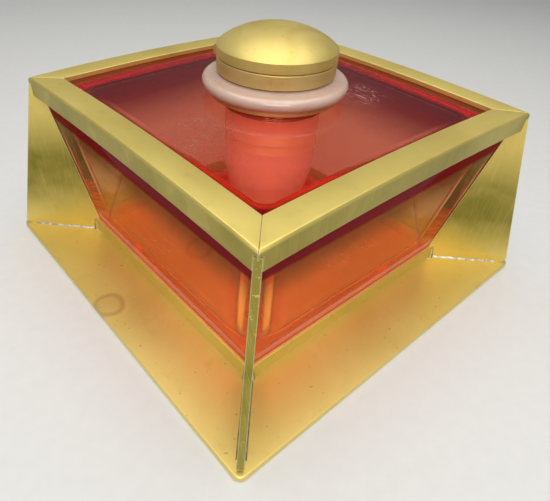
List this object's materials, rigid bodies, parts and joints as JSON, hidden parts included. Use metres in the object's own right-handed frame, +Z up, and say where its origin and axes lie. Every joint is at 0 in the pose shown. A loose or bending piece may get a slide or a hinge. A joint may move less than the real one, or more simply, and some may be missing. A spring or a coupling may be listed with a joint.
{
  "type": "inkwell",
  "caption": "Square glass inkwell in a flared brass skeleton, with a lift-out opal ink pot and a domed brass lid on a hinge.",
  "frame": {"origin": "centre of the base plate's underside", "axes": "+Z up, -Y the front, lid hinge at +Y with its pin along X, sides of the square along X and Y"},
  "size_m": [0.112, 0.112, 0.0656],
  "materials": {
    "frame_brass": "aged satin brass, olive tarnish in the hollows",
    "plate_brass": "satin brass with a few stains",
    "cap_brass": "spun satin brass",
    "solder": "bright soft solder",
    "red_glass": "clear red glass, ground and polished, lightly scratched",
    "opal_glass": "milky opal glass"
  },
  "bodies": {
    "frame": {"base_plate": "plate_brass", "corner_fin_front_right": "frame_brass", "corner_fin_back_right": "frame_brass", "corner_fin_back_left": "frame_brass", "corner_fin_front_left": "frame_brass", "top_frame_front": "frame_brass", "top_frame_right": "frame_brass", "top_frame_back": "frame_brass", "top_frame_left": "frame_brass", "foot_curb_front": "frame_brass", "foot_curb_right": "frame_brass", "foot_curb_back": "frame_brass", "foot_curb_left": "frame_brass", "solder_beads": "solder", "glass_body": "red_glass", "seat_ring": "cap_brass"},
    "pot": {"ink_pot": "opal_glass", "collar": "cap_brass", "collar_hinge_knuckles": "cap_brass", "hinge_pin": "cap_brass"},
    "lid": {"lid": "cap_brass", "lid_hinge_knuckle": "cap_brass"}
  },
  "joints": [
    {"name": "pot_lift", "type": "slide", "parent": "frame", "child": "pot", "axis": [0, 0, 1], "range_m": [0, 0.045]},
    {"name": "lid_hinge", "type": "hinge", "parent": "pot", "child": "lid", "pos_m": [0, 0.01655, 0.05642], "axis": [-1, 0, 0], "range_deg": [0, 105]}
  ]
}
